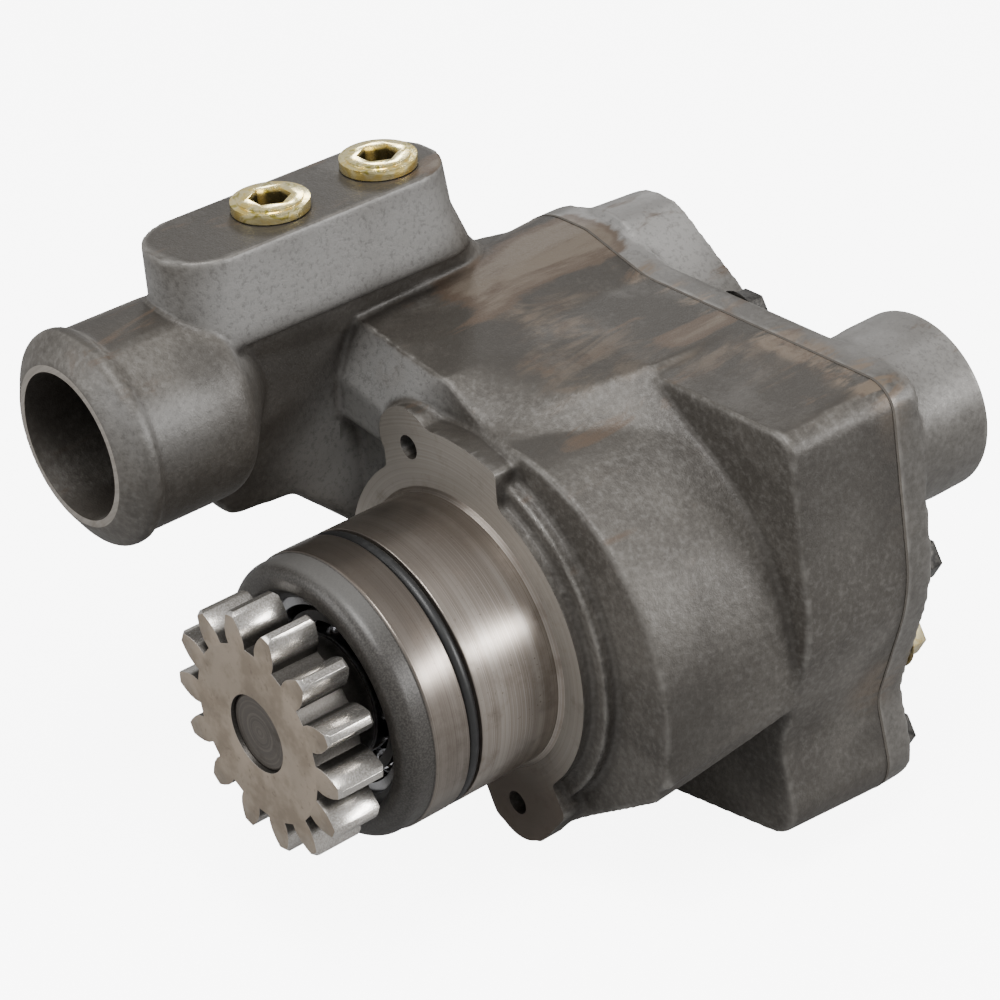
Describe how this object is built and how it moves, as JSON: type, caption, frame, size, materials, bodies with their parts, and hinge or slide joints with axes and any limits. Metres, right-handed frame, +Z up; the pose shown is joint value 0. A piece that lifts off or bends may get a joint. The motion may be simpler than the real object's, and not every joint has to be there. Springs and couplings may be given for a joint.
{
  "type": "engine coolant pump",
  "caption": "Gear-driven centrifugal coolant pump: round engine pilot with a spur drive gear in it, two-hole flange, cast housing with hose neck, plug block, rear cover and outlet tube",
  "frame": {"origin": "shaft axis at the front face of the mounting flange, the centre of the two mounting holes", "axes": "+Y runs along the shaft from the drive gear to the rear cover, +Z is up and +X is to the right of someone looking at the drive gear"},
  "size_m": [0.1719, 0.1951, 0.1854],
  "materials": {
    "pump_housing": "sand cast, dark, light rust on the raised edges",
    "rear_cover": "sand cast, dark",
    "cover_gasket": "pressed fibre sheet, matt",
    "cover_screws": "yellow zinc plate",
    "dowel_pins": "ground",
    "port_plugs": "yellow zinc plate",
    "plug_o_rings": "matt black",
    "pilot_o_ring": "matt black",
    "snap_ring": "phosphated spring steel",
    "front_bearing_outer_ring": "ground",
    "rear_bearing_outer_ring": "ground",
    "oil_seal_case": "pressed sheet",
    "oil_seal_lip": "brown fluororubber",
    "oil_seal_spring": "bright wire",
    "seal_shell": "pressed",
    "seal_bellows": "matt black",
    "seal_spring": "bright stainless wire",
    "seal_carbon": "lapped carbon",
    "pump_shaft": "ground",
    "drive_gear": "hobbed and case hardened, bright on the flanks",
    "impeller": "as cast",
    "bearing_spacer": "turned",
    "front_bearing_inner_ring": "ground",
    "rear_bearing_inner_ring": "ground",
    "seal_seat": null,
    "seal_seat_cup": "matt black",
    "front_bearing_cage": "pressed",
    "front_bearing_balls": "polished",
    "rear_bearing_cage": "pressed",
    "rear_bearing_balls": "polished"
  },
  "bodies": {
    "casing": {"pump_housing": "pump_housing", "rear_cover": "rear_cover", "cover_gasket": "cover_gasket", "cover_screws": "cover_screws", "dowel_pins": "dowel_pins", "port_plugs": "port_plugs", "plug_o_rings": "plug_o_rings", "pilot_o_ring": "pilot_o_ring", "snap_ring": "snap_ring", "front_bearing_outer_ring": "front_bearing_outer_ring", "rear_bearing_outer_ring": "rear_bearing_outer_ring", "oil_seal_case": "oil_seal_case", "oil_seal_lip": "oil_seal_lip", "oil_seal_spring": "oil_seal_spring", "seal_shell": "seal_shell", "seal_bellows": "seal_bellows", "seal_spring": "seal_spring", "seal_carbon": "seal_carbon"},
    "rotor": {"pump_shaft": "pump_shaft", "drive_gear": "drive_gear", "impeller": "impeller", "bearing_spacer": "bearing_spacer", "front_bearing_inner_ring": "front_bearing_inner_ring", "rear_bearing_inner_ring": "rear_bearing_inner_ring", "seal_seat": "seal_seat", "seal_seat_cup": "seal_seat_cup"},
    "front_cage_set": {"front_bearing_cage": "front_bearing_cage", "front_bearing_balls": "front_bearing_balls"},
    "rear_cage_set": {"rear_bearing_cage": "rear_bearing_cage", "rear_bearing_balls": "rear_bearing_balls"}
  },
  "joints": [
    {"name": "shaft_spin", "type": "hinge", "parent": "casing", "child": "rotor", "pos_m": [0, 0, 0], "axis": [0, 1, 0], "continuous": true},
    {"name": "front_cage_spin", "type": "hinge", "parent": "casing", "child": "front_cage_set", "pos_m": [0, 0, 0], "axis": [0, 1, 0], "continuous": true},
    {"name": "rear_cage_spin", "type": "hinge", "parent": "casing", "child": "rear_cage_set", "pos_m": [0, 0, 0], "axis": [0, 1, 0], "continuous": true}
  ],
  "couplings": [
    {"joint": "front_cage_spin", "follows": "shaft_spin", "ratio": 0.3678},
    {"joint": "rear_cage_spin", "follows": "shaft_spin", "ratio": 0.3969}
  ]
}
